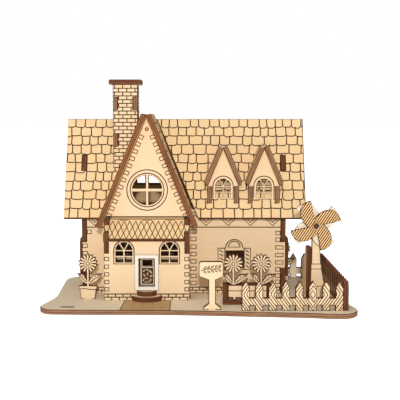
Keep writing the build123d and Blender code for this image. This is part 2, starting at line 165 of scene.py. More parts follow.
def addStretch(tree, vector, scale):
    node = tree.nodes.new("ShaderNodeMapping")
    node.inputs["Scale"].default_value = scale
    tree.links.new(vector, node.inputs["Vector"])
    return node.outputs["Vector"]


def addRamp(tree, factor, stops):
    node = tree.nodes.new("ShaderNodeValToRGB")
    while len(node.color_ramp.elements) < len(stops):
        node.color_ramp.elements.new(0.5)
    for element, (place, colour) in zip(node.color_ramp.elements, stops):
        element.position = place
        element.color = (*colour, 1)
    tree.links.new(factor, node.inputs["Fac"])
    return node.outputs["Color"]


def addMix(tree, factor, first, second, blend="MIX"):
    node = tree.nodes.new("ShaderNodeMix")
    node.data_type = "RGBA"
    node.blend_type = blend
    for socket, value in zip((node.inputs[0], node.inputs[6], node.inputs[7]),
                             (factor, first, second)):
        if isinstance(value, (int, float)):
            socket.default_value = value
        elif isinstance(value, tuple):
            socket.default_value = (*value, 1)
        else:
            tree.links.new(value, socket)
    return node.outputs[2]


# streaks and clouds: how often they repeat along and across the grain, in a metre
grain = {"streaks": (45, 1400, 1), "clouds": (30, 90, 1), "ramp": (0.32, 0.62), "cloudShare": 0.55,
         "relief": 0.12, "reliefDepth": 0.0002}
woodShine = 0.25


def makeGrainGroup(spec):
    # fine streaks along the sheet's first direction, soft clouds over it
    group, start, end = newGroup("sheetGrain", [("Vector", "NodeSocketVector", None)],
                                 [("Streaks", "NodeSocketFloat"), ("Clouds", "NodeSocketFloat")])
    streaks = addNoise(group, addStretch(group, start.outputs["Vector"], spec["streaks"]), detail=4.0)
    clouds = addNoise(group, addStretch(group, start.outputs["Vector"], spec["clouds"]), detail=2.0)
    group.links.new(streaks, end.inputs["Streaks"])
    group.links.new(clouds, end.inputs["Clouds"])
    return group


grainGroup = makeGrainGroup(grain)


def startMaterial(name, roughness):
    material = bpy.data.materials.new(name)
    material.use_nodes = True
    tree = material.node_tree
    shader = tree.nodes["Principled BSDF"]
    shader.inputs["Roughness"].default_value = roughness
    shader.inputs["Specular IOR Level"].default_value = woodShine
    return material, tree, shader


def readMap(tree):
    node = tree.nodes.new("ShaderNodeUVMap")
    node.uv_map = "sheet"
    return node.outputs["UV"]


def readValue(tree, name):
    node = tree.nodes.new("ShaderNodeAttribute")
    node.attribute_name = name
    return node.outputs["Fac"]


def plyFace(name, pale, deep, warm, roughness=0.62):
    material, tree, shader = startMaterial(name, roughness)
    pattern = tree.nodes.new("ShaderNodeGroup")
    pattern.node_tree = grainGroup
    tree.links.new(readMap(tree), pattern.inputs["Vector"])
    low, high = grain["ramp"]
    streaks = addRamp(tree, pattern.outputs["Streaks"], [(low, deep), (high, pale)])
    tone = addMath(tree, "MULTIPLY", pattern.outputs["Clouds"], grain["cloudShare"])
    toned = addMix(tree, tone, streaks, warm)
    tinted = addMix(tree, readValue(tree, "tint"), toned, warm)
    tree.links.new(tinted, shader.inputs["Base Color"])
    bump = tree.nodes.new("ShaderNodeBump")
    bump.inputs["Strength"].default_value = grain["relief"]
    bump.inputs["Distance"].default_value = grain["reliefDepth"]
    tree.links.new(pattern.outputs["Streaks"], bump.inputs["Height"])
    tree.links.new(bump.outputs["Normal"], shader.inputs["Normal"])
    return material


soot = {
    "edgeSpread": 70.0, "lineSpread": 420.0, "layerStep": 5.0, "ramp": (0.3, 0.7),
    # shade of the three plies, from one face of the sheet to the other
    "plies": ((0.0, 0.6), (0.08, 1.0), (0.32, 0.95), (0.37, 0.62),
              (0.62, 0.7), (0.67, 1.0), (0.92, 0.95), (1.0, 0.55)),
}


def makeScorchGroup(spec):
    # soot in streaks along a cut edge, and the three plies across it
    group, start, end = newGroup("scorch", [("Vector", "NodeSocketVector", None),
                                            ("Layer", "NodeSocketFloat", 0.5),
                                            ("Spread", "NodeSocketFloat", spec["edgeSpread"])],
                                 [("Smoke", "NodeSocketFloat"), ("Plies", "NodeSocketFloat")])
    scaled = group.nodes.new("ShaderNodeVectorMath")
    scaled.operation = "SCALE"
    group.links.new(start.outputs["Vector"], scaled.inputs[0])
    group.links.new(start.outputs["Spread"], scaled.inputs["Scale"])
    across = group.nodes.new("ShaderNodeCombineXYZ")
    group.links.new(addMath(group, "MULTIPLY", start.outputs["Layer"], spec["layerStep"]),
                    across.inputs["Z"])
    moved = group.nodes.new("ShaderNodeVectorMath")
    group.links.new(scaled.outputs[0], moved.inputs[0])
    group.links.new(across.outputs[0], moved.inputs[1])
    group.links.new(addNoise(group, moved.outputs[0], detail=4.0, roughness=0.65), end.inputs["Smoke"])
    plies = addRamp(group, start.outputs["Layer"], [(place, (shade,) * 3) for place, shade in spec["plies"]])
    group.links.new(plies, end.inputs["Plies"])
    return group


scorchGroup = makeScorchGroup(soot)


def addScorch(tree, spread):
    scorch = tree.nodes.new("ShaderNodeGroup")
    scorch.node_tree = scorchGroup
    scorch.inputs["Spread"].default_value = spread
    tree.links.new(readMap(tree), scorch.inputs["Vector"])
    tree.links.new(readValue(tree, "layer"), scorch.inputs["Layer"])
    return scorch


def sootTone(tree, scorch, dark, light):
    low, high = soot["ramp"]
    return addRamp(tree, scorch.outputs["Smoke"], [(low, dark), (high, light)])


def burntEdge(name, dark, light, roughness=0.75):
    material, tree, shader = startMaterial(name, roughness)
    scorch = addScorch(tree, soot["edgeSpread"])
    tone = sootTone(tree, scorch, dark, light)
    tree.links.new(addMix(tree, 1.0, tone, scorch.outputs["Plies"], "MULTIPLY"),
                   shader.inputs["Base Color"])
    return material


def engravedLine(name, dark, light, roughness=0.85):
    material, tree, shader = startMaterial(name, roughness)
    scorch = addScorch(tree, soot["lineSpread"])
    tree.links.new(sootTone(tree, scorch, dark, light), shader.inputs["Base Color"])
    return material


woods = {
    # faces: pale grain, deep grain, warm patches
    "wall": plyFace("wallPly", (0.86, 0.67, 0.45), (0.80, 0.59, 0.37), (0.82, 0.58, 0.34)),
    # a dark copy of the ply, painted shade for a face that stands in shade
    "paintedShadeDark": plyFace("paintedShadeDarkPly", (0.50, 0.31, 0.17), (0.28, 0.15, 0.07), (0.36, 0.20, 0.10)),
    # the wall ply darkened, painted shade for recessed and covered parts
    "shaded": plyFace("shadedPly", (0.62, 0.50, 0.36), (0.56, 0.44, 0.30), (0.58, 0.43, 0.28)),
    "tan": plyFace("tanPly", (0.88, 0.57, 0.28), (0.80, 0.49, 0.22), (0.82, 0.48, 0.20)),
    "pale": plyFace("palePly", (0.90, 0.78, 0.60), (0.86, 0.72, 0.52), (0.86, 0.70, 0.50)),
    "roof": plyFace("roofPly", (0.86, 0.64, 0.37), (0.80, 0.56, 0.30), (0.78, 0.50, 0.24)),
    "board": plyFace("boardPly", (0.88, 0.76, 0.57), (0.82, 0.69, 0.49), (0.82, 0.67, 0.46)),
    "white": plyFace("whitePly", (0.83, 0.79, 0.70), (0.79, 0.74, 0.64), (0.80, 0.74, 0.63)),
    "path": plyFace("rasteredPly", (0.56, 0.36, 0.17), (0.47, 0.28, 0.12), (0.50, 0.30, 0.13)),
    # cut edges and engraving: darkest soot, lightest soot
    "edge": burntEdge("burntEdge", (0.085, 0.024, 0.009), (0.24, 0.080, 0.026)),
    "barge": burntEdge("bargeEdge", (0.15, 0.046, 0.013), (0.37, 0.135, 0.045)),
    "plank": burntEdge("plankEdge", (0.20, 0.092, 0.038), (0.42, 0.22, 0.105)),
    "whiteEdge": burntEdge("whiteEdge", (0.50, 0.42, 0.33), (0.74, 0.68, 0.60)),
    "boardEdge": burntEdge("boardBurntEdge", (0.19, 0.082, 0.038), (0.44, 0.235, 0.125)),
    "char": engravedLine("charredRim", (0.040, 0.015, 0.006), (0.10, 0.040, 0.015)),
    "line": engravedLine("engravedLine", (0.040, 0.017, 0.005), (0.11, 0.052, 0.016)),
    "dowel": engravedLine("burntDowel", (0.035, 0.020, 0.012), (0.12, 0.075, 0.045)),
}
print("woods are mixed")


# every plate is its own sheet: material 0 its faces, 1 its cut edges, 2 engraving, 3 rim, 4 rastered wood
faceSlot, edgeSlot, rimSlot, pathSlot = 0, 1, 3, 4
sheetMerge = 1e-6  # metres
cutterMerge = 1e-7
flatWithin = 0.4  # degrees
smoothWithin = 25
faceOn = 0.9  # how squarely a polygon has to look along the sheet's normal
mapShift = 3  # metres of grain that a sheet may be cut from


def sheetAxes(azimuth, slope):
    # azimuth 0 faces the front, 90 the right; slope 90 is upright, 0 lies flat
    turn, tilt = math.radians(azimuth), math.radians(slope)
    out = Vector((math.sin(turn), -math.cos(turn), 0))
    normal = out * math.sin(tilt) + Vector((0, 0, math.cos(tilt)))
    up = Vector((0, 0, math.sin(tilt))) - out * math.cos(tilt)
    return up.cross(normal), up, normal


def pick(piece):
    bpy.ops.object.select_all(action="DESELECT")
    piece.select_set(True)
    bpy.context.view_layer.objects.active = piece


def copyNode(node):
    piece = bpy.data.objects.new(node + "_ply", frame["nodes"][node].data.copy())
    bpy.context.scene.collection.objects.link(piece)
    piece.data.materials.clear()
    pick(piece)
    bpy.ops.mesh.customdata_custom_splitnormals_clear()
    bpy.ops.object.mode_set(mode="EDIT")
    bpy.ops.mesh.select_all(action="SELECT")
    bpy.ops.mesh.remove_doubles(threshold=sheetMerge)
    bpy.ops.mesh.dissolve_limited(angle_limit=math.radians(flatWithin))
    bpy.ops.object.mode_set(mode="OBJECT")
    return piece


def paintSides(piece, normal, face, edge):
    for material in (face, edge, woods["line"], woods["char"], woods["path"]):
        piece.data.materials.append(material)
    for polygon in piece.data.polygons:
        polygon.material_index = faceSlot if abs(polygon.normal.dot(normal)) > faceOn else edgeSlot


def scorchRim(piece, width):
    # a narrow burnt bevel round every cut outline
    pick(piece)
    bpy.ops.object.mode_set(mode="EDIT")
    bpy.ops.mesh.select_all(action="DESELECT")
    shape = bmesh.from_edit_mesh(piece.data)
    for edge in shape.edges:
        kinds = {face.material_index for face in edge.link_faces}
        edge.select = kinds == {faceSlot, edgeSlot}
    bmesh.update_edit_mesh(piece.data)
    bpy.ops.mesh.bevel(offset=width * mm, segments=1, material=rimSlot)
    bpy.ops.object.mode_set(mode="OBJECT")


def addPath(curve, points, closed):
    spline = curve.splines.new("POLY")
    spline.points.add(len(points) - 1)
    spline.use_cyclic_u = closed
    for point, (u, v) in zip(spline.points, points):
        point.co = (u * mm, v * mm, 0, 1)


def strokeCutter(strokes, width, place):
    # a square bar along each stroke, half of it above the face
    curve = bpy.data.curves.new("strokes", "CURVE")
    curve.dimensions = "3D"
    curve.bevel_depth = width / 2 * mm
    curve.bevel_resolution = 0
    curve.use_fill_caps = True
    for points in strokes:
        closed = len(points) > 3 and points[0] == points[-1]
        addPath(curve, points[:-1] if closed else points, closed)
    return solidify(curve, place)


def pocketCutter(spec, place):
    # a flat-bottomed recess with leaves left standing in it
    curve = bpy.data.curves.new("recess", "CURVE")
    curve.dimensions = "2D"
    curve.fill_mode = "BOTH"
    curve.extrude = spec["deep"] * mm
    for points in [spec["outline"]] + [leafShape(*leaf) for leaf in spec["leaves"]]:
        addPath(curve, points, True)
    return solidify(curve, place)


def solidify(curve, place):
    cutter = bpy.data.objects.new(curve.name, curve)
    bpy.context.scene.collection.objects.link(cutter)
    pick(cutter)
    bpy.ops.object.convert(target="MESH")
    bpy.ops.object.mode_set(mode="EDIT")
    bpy.ops.mesh.select_all(action="SELECT")
    bpy.ops.mesh.remove_doubles(threshold=cutterMerge)
    bpy.ops.mesh.normals_make_consistent(inside=False)
    bpy.ops.object.mode_set(mode="OBJECT")
    cutter.data.transform(place)
    cutter.data.materials.append(woods["line"])
    return cutter


def cutAway(piece, cutter):
    pick(piece)
    modifier = piece.modifiers.new("cut", "BOOLEAN")
    modifier.operation = "DIFFERENCE"
    modifier.solver = "MANIFOLD"
    modifier.material_mode = "TRANSFER"
    modifier.object = cutter
    bpy.ops.object.modifier_apply(modifier=modifier.name)
    bpy.data.objects.remove(cutter)


def measureSheet(piece, axes):
    up, normal = axes[1:]
    points = [vertex.co for vertex in piece.data.vertices]
    return {
        "top": max(point.dot(up) for point in points),
        "outer": max(point.dot(normal) for point in points),
        "inner": min(point.dot(normal) for point in points),
    }


def sheetPlace(axes, outer, top):
    # from u, v in the sheet's outer face, with v = 0 at top, to the world
    across, up, normal = axes
    corner = up * top + normal * outer
    return Matrix((
        (across.x, up.x, normal.x, corner.x),
        (across.y, up.y, normal.y, corner.y),
        (across.z, up.z, normal.z, corner.z),
        (0, 0, 0, 1)))


def mapSheet(piece, axes, size, grainUp, shift):
    # a flat map in metres, and how far each point lies through the sheet
    across, up, normal = axes
    mesh = piece.data
    thick = size["outer"] - size["inner"]
    layer = mesh.attributes.new("layer", "FLOAT", "POINT")
    for vertex in mesh.vertices:
        layer.data[vertex.index].value = (vertex.co.dot(normal) - size["inner"]) / thick
    while mesh.uv_layers:
        mesh.uv_layers.remove(mesh.uv_layers[0])
    uv = mesh.uv_layers.new(name="sheet")
    for loop in mesh.loops:
        co = mesh.vertices[loop.vertex_index].co
        place = (co.dot(across) + shift, co.dot(up) + shift * 0.7)
        uv.data[loop.index].uv = place[::-1] if grainUp else place


def tintIslands(piece, amount, spread):
    # each engraved field of the face gets its own shade
    shape = bmesh.new()
    shape.from_mesh(piece.data)
    shape.faces.ensure_lookup_table()
    shade = {}
    for face in shape.faces:
        if face.index in shade or face.material_index != faceSlot:
            continue
        value = min(1.0, max(0.0, amount + random.uniform(-spread, spread)))
        waiting = [face]
        shade[face.index] = value
        while waiting:
            near = waiting.pop()
            for edge in near.edges:
                for other in edge.link_faces:
                    if other.index not in shade and other.material_index == faceSlot:
                        shade[other.index] = value
                        waiting.append(other)
    shape.free()
    tint = piece.data.attributes.new("tint", "FLOAT", "FACE")
    for index, value in shade.items():
        tint.data[index].value = value


def rasterFace(piece, wanted):
    for polygon in piece.data.polygons:
        if polygon.material_index == faceSlot and wanted(polygon.center):
            polygon.material_index = pathSlot


def dressSheet(node, azimuth=0, slope=90, face="wall", edge="edge", passes=(), width=0.7, rim=0.4,
               tint=0.25, spread=0.12, grainUp=False, fromTop=False,
               pocket=None, raster=None):
    # strokes that cross each other lie in separate passes; one with its own width is a dictionary
    axes = sheetAxes(azimuth, slope)
    piece = copyNode(node)
    size = measureSheet(piece, axes)
    paintSides(piece, axes[2], woods[face], woods[edge])
    scorchRim(piece, rim)
    place = sheetPlace(axes, size["outer"], size["top"] if fromTop else 0)
    if pocket:
        cutAway(piece, pocketCutter(pocket, place))
    for strokes in passes:
        if isinstance(strokes, dict):
            cutAway(piece, strokeCutter(strokes["strokes"], strokes["width"], place))
        else:
            cutAway(piece, strokeCutter(strokes, width, place))
    if raster:
        rasterFace(piece, raster)
    pick(piece)
    bpy.ops.object.shade_smooth_by_angle(angle=math.radians(smoothWithin))
    mapSheet(piece, axes, size, grainUp, random.uniform(0, mapShift))
    tintIslands(piece, tint, spread)
    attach(piece, frame["nodes"][node]["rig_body"])
    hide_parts(node)


# strokes: lists of (u, v) points in mm on a sheet's outer face
def quoins(edge, side, heights, reach=3.2, tall=2.3, inset=0.5):
    # small blocks beside a corner, each a closed outline
    near, away = edge + side * inset, edge + side * reach
    return [[(near, v + tall / 2), (away, v + tall / 2), (away, v - tall / 2),
             (near, v - tall / 2), (near, v + tall / 2)] for v in heights]


def levels(left, right, heights):
    return [[(left, v), (right, v)] for v in heights]


def brickJoints(left, right, low, rowTall, rows, brick, offset=0.0):
    joints = []
    for row in range(rows):
        v = low + row * rowTall
        u = left + offset + (row % 2) * brick / 2
        while u < right:
            joints.append([(u, v), (u, v + rowTall)])
            u += brick
    return joints


def ring(u, v, radius, steps=48):
    return [(u + radius * math.cos(2 * math.pi * n / steps),
             v + radius * math.sin(2 * math.pi * n / steps)) for n in range(steps)] + [(u + radius, v)]


def halfRing(u, v, radius, steps=20):
    return [(u + radius * math.cos(math.pi * n / steps), v + radius * math.sin(math.pi * n / steps))
            for n in range(steps + 1)]


def archLine(u, sill, halfWidth, top):
    arc = halfRing(u, top - halfWidth, halfWidth)
    return [(u + halfWidth, sill)] + arc + [(u - halfWidth, sill), (u + halfWidth, sill)]


def diagonals(left, right, low, high, step, lean):
    lines = []
    u = left - (high - low) * abs(lean)
    while u < right + (high - low) * abs(lean):
        lines.append([(u, low), (u + (high - low) * lean, high)])
        u += step
    return lines


def leafShape(u, v, long, wide, turn):
    shares = ((-1, 0), (-0.4, 1), (0.35, 0.8), (1, 0), (0.35, -0.8), (-0.4, -1))
    cosTurn, sinTurn = math.cos(math.radians(turn)), math.sin(math.radians(turn))
    return [(u + long * x * cosTurn - wide * y * sinTurn, v + long * x * sinTurn + wide * y * cosTurn)
            for x, y in shares]


print("tools are ready")

mainSlope = 67.5
mainRoof = {"left": -83.1, "right": 67.4, "leftEnds": -20, "rightStarts": -42, "length": 66.4, "rows": 11,
            "tile": 6.4, "line": 0.72, "edge": "edge"}
gableRoof = {"front": -26.0, "back": 20.0, "length": 73.6, "rows": 12, "tile": 6.6, "line": 0.6,
             "edge": "barge"}
dormerRoof = {"front": -11.0, "back": 12.0, "length": 24.0, "rows": 4, "tile": 5.6, "line": 0.5,
              "edge": "plank"}
# a shingle in mm; widths are shares of the roof's tile, pairs are how far chance may go
shingle = {"widths": (0.72, 1.28), "sag": (-0.5, 0.45), "tip": (-0.3, 0.3), "lean": (-0.45, 0.45),
           "cusp": 1.15, "shoulder": 0.35, "corner": 1.6, "cornerShare": 0.28, "cornerBend": 0.35,
           "jointTop": 0.45, "jointFoot": 1.1, "overrun": 1, "jointBend": 0.3}


def shingleRow(cuts, base, chance):
    # one wavy stroke, with a cusp at each cut and round corners beside it
    stroke = []
    for near, away in zip(cuts, cuts[1:]):
        sag = chance.uniform(*shingle["sag"])
        tip = chance.uniform(*shingle["tip"])
        corner = min(shingle["corner"], (away - near) * shingle["cornerShare"])
        bend = corner * shingle["cornerBend"]
        shoulder = base + shingle["shoulder"] + sag * 0.5
        stroke += [(near, base + shingle["cusp"]), (near + bend, shoulder),
                   (near + corner, base + sag - tip * 0.5), (away - corner, base + sag + tip * 0.5),
                   (away - bend, shoulder)]
    stroke.append((cuts[-1], base + shingle["cusp"]))
    return stroke


def shingleStrokes(left, right, spec, seed):
    # bottoms: one stroke a row but the last; sides: a joint from each row's line down to the next cusp
    chance = random.Random(seed)
    rows, wide = spec["rows"], spec["tile"]
    tall = spec["length"] / rows
    bottoms, sides = [], []
    for row in range(rows):
        base = -(row + 1) * tall
        cuts = [left - chance.uniform(0, wide)]
        while cuts[-1] < right:
            cuts.append(cuts[-1] + wide * chance.uniform(*shingle["widths"]))
        bottoms.append(shingleRow(cuts, base, chance))
        for u in cuts[1:-1]:
            lean = chance.uniform(*shingle["lean"])
            top = base + tall + shingle["jointTop"]
            foot = base + shingle["jointFoot"] if row < rows - 1 else base - shingle["overrun"]
            sides.append([(u + lean, top), (u + lean * shingle["jointBend"], (top + foot) / 2), (u, foot)])
    return bottoms[:-1], sides


def shingled(node, azimuth, left, right, spec, seed):
    dressSheet(node, azimuth=azimuth, slope=mainSlope, face="roof", edge=spec["edge"],
               passes=shingleStrokes(left, right, spec, seed), width=spec["line"], tint=0.22,
               spread=0.2, fromTop=True)


shingled("main_roof_front_left", 0, mainRoof["left"], mainRoof["leftEnds"], mainRoof, 3)
shingled("main_roof_front_right", 0, mainRoof["rightStarts"], mainRoof["right"], mainRoof, 8)
shingled("main_roof_back", 180, -mainRoof["right"], -mainRoof["left"], mainRoof, 5)
for prefix, spec, seed in (("gable_", gableRoof, 14), ("dormer_left_", dormerRoof, 21),
                           ("dormer_right_", dormerRoof, 31)):
    shingled(prefix + "roof_left", 270, -spec["back"], -spec["front"], spec, seed)
    shingled(prefix + "roof_right", 90, spec["front"], spec["back"], spec, seed + 1)

porchRoof = {"length": 14.6, "middle": -30.8, "slope": 48.65, "diamond": (3.48, 8.8), "margin": 1.4,
             "overrun": 0.5, "tips": 12, "line": 0.5,
             "marks": (-44.8, -30.8, -16.8), "markHeights": (-0.2, -1.0), "markLine": 0.7}


def latticeStrokes(spec):
    pitch, tall = spec["diamond"]
    high, low = -spec["margin"], -spec["length"] - spec["overrun"]
    lean = pitch / tall
    reach = (spec["length"] - spec["margin"]) * lean
    tips = [spec["middle"] + n * pitch for n in range(-spec["tips"], spec["tips"] + 1)]
    falling = [[(tip, high), (tip + reach + spec["overrun"] * lean, low)] for tip in tips]
    rising = [[(tip, high), (tip - reach - spec["overrun"] * lean, low)] for tip in tips]
    return falling, rising


def teeth(middles, heights, step=0.9, count=3):
    # a short zigzag under each slot of the gable wall
    high, low = heights
    return [[(middle - step * count + step * n, high if n % 2 else low) for n in range(2 * count + 1)]
            for middle in middles]


falling, rising = latticeStrokes(porchRoof)
slotMarks = {"strokes": teeth(porchRoof["marks"], porchRoof["markHeights"]), "width": porchRoof["markLine"]}
dressSheet("porch_roof", slope=porchRoof["slope"], face="roof", passes=(falling, rising, slotMarks),
           width=porchRoof["line"], fromTop=True, spread=0.16)
print("roofs are shingled")

brickFoot = {"low": 3.0, "row": 1.95, "brick": 4.6, "raise": 0.15}
frieze = {"line": 45.2, "outer": (46.2, 53.0), "inner": (48.2, 55.0), "pitch": 14.0}
frontWall = {
    "left": -70.0, "right": 52.5, "friezeEnds": (-71, 54), "zigzagFirst": 5.3 - 6 * 14.0, "line": 0.66,
    "quoins": (
        {"edge": -4.8, "side": 1, "heights": (42.4, 37.7, 32.8, 28.1, 23.4, 18.7, 14.1, 9.6), "reach": 3.9},
        {"edge": -70.0, "side": 1, "heights": (42.2, 16.6, 11.8), "reach": 3.0},
        {"edge": -73.0, "side": 1, "heights": (33.4, 28.6, 23.6), "reach": 3.4},
        {"edge": 52.5, "side": -1, "heights": (41.4, 37.2, 18.3, 14.3, 10.3), "reach": 3.2},
        {"edge": 54.4, "side": -1, "heights": (32.3, 27.5, 22.7), "reach": 5.2, "tall": 2.1},
    ),
}
frontWindow = {"middle": 23.1, "shutters": (12.9, 33.3), "opening": (17.2, 29.4), "low": 18.2, "top": 31.8,
               "outerArch": (31.9, 5.4), "innerArch": (32.5, 3.7), "hingeEnd": 0.4, "border": 0.9,
               "gap": 1.0, "slatStep": 2.4, "slatDrop": 1.5, "slatStart": 1.2}


def zigzag(first, right, heights):
    low, high = heights
    half = frieze["pitch"] / 2
    count = math.ceil((right + frieze["pitch"] - first) / half)
    return [[(first + n * half, high if n % 2 else low) for n in range(count)]]


def footBricks(left, right, offset=0.0):
    low, row = brickFoot["low"], brickFoot["row"]
    beds = levels(left, right, (low + row, low + 2 * row))
    return beds, brickJoints(left, right, low + brickFoot["raise"], row, 2, brickFoot["brick"], offset)


def shutterSlats(left, right, spec):
    slats = []
    v = spec["top"] - spec["slatStart"]
    while v > spec["low"] + spec["slatDrop"]:
        slats.append([(left, v), (right, v - spec["slatDrop"])])
        v -= spec["slatStep"]
    return slats


def shutterStrokes(spec):
    low, top, border, gap = spec["low"], spec["top"], spec["border"], spec["gap"]
    left, right = spec["shutters"]
    near, away = spec["opening"]
    outline = [(near, top), (left, top), (left, low), (right, low), (right, top), (away, top)]
    hinges = [[(u, top + spec["hingeEnd"]), (u, low - spec["hingeEnd"])] for u in (near, away)]
    slats = shutterSlats(left + border, near - gap, spec) + shutterSlats(away + gap, right - border, spec)
    return [outline], hinges, slats


def frontPasses(wall, window):
    marks = []
    for blocks in wall["quoins"]:
        marks += quoins(**blocks)
    marks += levels(*wall["friezeEnds"], (frieze["line"], ))
    marks += zigzag(wall["zigzagFirst"], wall["right"], frieze["outer"])
    beds, joints = footBricks(wall["left"], wall["right"])
    outline, hinges, slats = shutterStrokes(window)
    outerArch = halfRing(window["middle"], *window["outerArch"])
    innerArch = halfRing(window["middle"], *window["innerArch"])
    innerZigzag = zigzag(wall["zigzagFirst"], wall["right"], frieze["inner"])
    return (marks + slats, beds + [innerArch + innerArch[:1]], joints + [outerArch], innerZigzag,
            outline, hinges)


dressSheet("front_wall", passes=frontPasses(frontWall, frontWindow), width=frontWall["line"])

cornerBlocks = {"first": 9.6, "pitch": 4.7, "count": 8, "reach": 3.2, "brickOffset": 1.2}
backWall = {"left": -52.5, "right": 70.0, "zigzagFirst": -60.0, "windows": (-36.0, 36.0),
            "arch": {"sill": 16.8, "halfWidth": 6.6, "top": 37.2}}
sideWall = {"left": -2, "right": 38, "eaves": 57.5}
sideWindow = {"middle": 18.0, "arch": {"sill": 14.9, "halfWidth": 6.1, "top": 34.1}, "line": 0.4}


def wallStrokes(left, right, count):
    heights = [cornerBlocks["first"] + cornerBlocks["pitch"] * n for n in range(count)]
    marks = quoins(left, 1, heights, reach=cornerBlocks["reach"])
    marks += quoins(right, -1, heights, reach=cornerBlocks["reach"])
    beds, joints = footBricks(left, right, cornerBlocks["brickOffset"])
    return marks + beds, joints


backMarks, backJoints = wallStrokes(backWall["left"], backWall["right"], cornerBlocks["count"])
backMarks += [archLine(u, **backWall["arch"]) for u in backWall["windows"]]
backMarks += levels(backWall["left"], backWall["right"], (frieze["line"], ))
backZigzag = zigzag(backWall["zigzagFirst"], backWall["right"], frieze["outer"])
dressSheet("back_wall", azimuth=180, passes=(backMarks, backJoints, backZigzag), rim=0.2)

for node, azimuth, left, right in (("left_side_wall", 270, -sideWall["right"], -sideWall["left"]),
                                   ("right_side_wall", 90, sideWall["left"], sideWall["right"])):
    marks, joints = wallStrokes(left, right, cornerBlocks["count"])
    dressSheet(node, azimuth=azimuth, passes=(marks + levels(left, right, (sideWall["eaves"], )), joints))

for node, azimuth, middle in (("window_frame_left", 270, -sideWindow["middle"]),
                              ("window_frame_right", 90, sideWindow["middle"])):
    dressSheet(node, azimuth=azimuth, passes=([archLine(middle, **sideWindow["arch"])], ),
               width=sideWindow["line"], rim=0.2)
# the attic floor takes the shaded ply as painted shade
dressSheet("attic_floor", slope=0, face="shaded")
print("main house walls are engraved")

chimney = {"across": 45.3, "back": 8.5, "reach": 8, "low": 60.0, "top": 134.5, "row": 2.36, "brick": 5.15,
           "line": 0.62}


def brickwork(middle, spec):
    left, right = middle - spec["reach"], middle + spec["reach"]
    row, brick = spec["row"], spec["brick"]
    rows = int((spec["top"] - spec["low"]) / row)
    start = spec["top"] - rows * row
    beds = levels(left - 1, right + 1, [start + n * row for n in range(1, rows)])
    return beds, brickJoints(left, right, start, row, rows, brick, brick / 4)


for side, azimuth, middle in (("front", 0, -chimney["across"]), ("back", 180, chimney["across"]),
                              ("left", 270, -chimney["back"]), ("right", 90, chimney["back"])):
    dressSheet("chimney_" + side, azimuth=azimuth, edge="plank", passes=brickwork(middle, chimney),
               width=chimney["line"], spread=0.22)
dressSheet("chimney_cap", slope=0, rim=0.2)
print("chimney is bricked")

porch = {"left": -56.8, "right": -4.8, "middle": -30.8, "line": 0.68,
         "quoins": {"heights": (28.4, 23.7, 19.0, 14.3, 9.8), "reach": 2.9, "tall": 2.1},
         "windowOff": 13.8, "arch": {"sill": 25.4, "halfWidth": 6.15, "top": 39.7},
         "sideLeft": 2, "sideRight": 24, "sideBlocks": 5}
porchBeds, porchJoints = footBricks(porch["left"], porch["right"])
porchMarks = quoins(porch["left"], 1, **porch["quoins"]) + quoins(porch["right"], -1, **porch["quoins"])
porchMarks += [archLine(porch["middle"] + side * porch["windowOff"], **porch["arch"]) for side in (-1, 1)]
dressSheet("porch_front_wall", passes=(porchMarks + porchBeds, porchJoints), width=porch["line"], rim=0.17)
for node, azimuth, left, right in (
        ("porch_left_wall", 270, porch["sideLeft"], porch["sideRight"]),
        ("porch_right_wall", 90, -porch["sideRight"], -porch["sideLeft"])):
    dressSheet(node, azimuth=azimuth, passes=wallStrokes(left, right, porch["sideBlocks"]))
# the porch ceiling takes the shaded ply as painted shade
dressSheet("porch_ceiling", slope=0, face="shaded")
dressSheet("door_frame", face="white", edge="whiteEdge", rim=0.12)

fretwork = {
    "outline": [(-33.9, 12.9), (-27.0, 12.9), (-27.0, 22.6), (-33.9, 22.6)],
    # each leaf's u, v, half length, half width and turn
    "leaves": [(-32.6, 20.9, 1.1, 0.4, 40), (-30.6, 21.4, 1.0, 0.38, -25), (-28.6, 20.2, 1.5, 0.55, -50),
               (-28.2, 17.7, 1.1, 0.5, 30), (-30.4, 18.9, 1.0, 0.4, 75), (-32.4, 18.0, 1.1, 0.4, -60),
               (-32.8, 15.3, 1.2, 0.42, 65), (-30.9, 16.2, 1.0, 0.4, -20), (-28.6, 15.2, 1.2, 0.4, 80),
               (-31.5, 13.9, 0.9, 0.32, 10), (-29.8, 14.1, 0.9, 0.35, -50)],
    "deep": 0.3,
}
doorPane = [(-34.3, 23.3), (-26.7, 23.3), (-26.7, 28.2), (-34.3, 28.2), (-34.3, 23.3)]
# the door leaf takes the shaded ply as painted shade for its recess
dressSheet("door_leaf", face="shaded", pocket=fretwork, passes=([doorPane], ), width=0.35, rim=0.25)
dressSheet("step_lower", slope=0, rim=0.2)
dressSheet("step_upper", slope=0, rim=0.2)

gable = {"middle": -30.8, "apex": 115.1, "window": 69.7, "rings": (10.3, 12.4), "eye": (106.8, 0.85),
         "ledge": 53.3, "ledgeEnds": (-60, 0), "line": 0.64}
gableQuoins = {"first": 13.4, "pitch": 4.72, "count": 12, "deep": 3.1, "tall": 2.1, "open": 0.2}


def onLedge(point):
    return point.z / mm < gable["ledge"]


def slopeQuoins(middle, apex, spec):
    # little open boxes standing square to both slopes, their backs to the roof
    steep = math.radians(mainSlope)
    top = Vector((middle, apex))
    slopes = []
    for side in (-1, 1):
        marks = []
        down = Vector((side * math.cos(steep), -math.sin(steep)))
        into = Vector((-side * math.sin(steep), -math.cos(steep)))
        for n in range(spec["count"]):
            centre = top + down * (spec["first"] + n * spec["pitch"])
            above, below = centre - down * spec["tall"] / 2, centre + down * spec["tall"] / 2
            corners = [above - into * spec["open"], above + into * spec["deep"],
                       below + into * spec["deep"], below - into * spec["open"]]
            marks.append([tuple(corner) for corner in corners])
        slopes.append(marks)
    return slopes


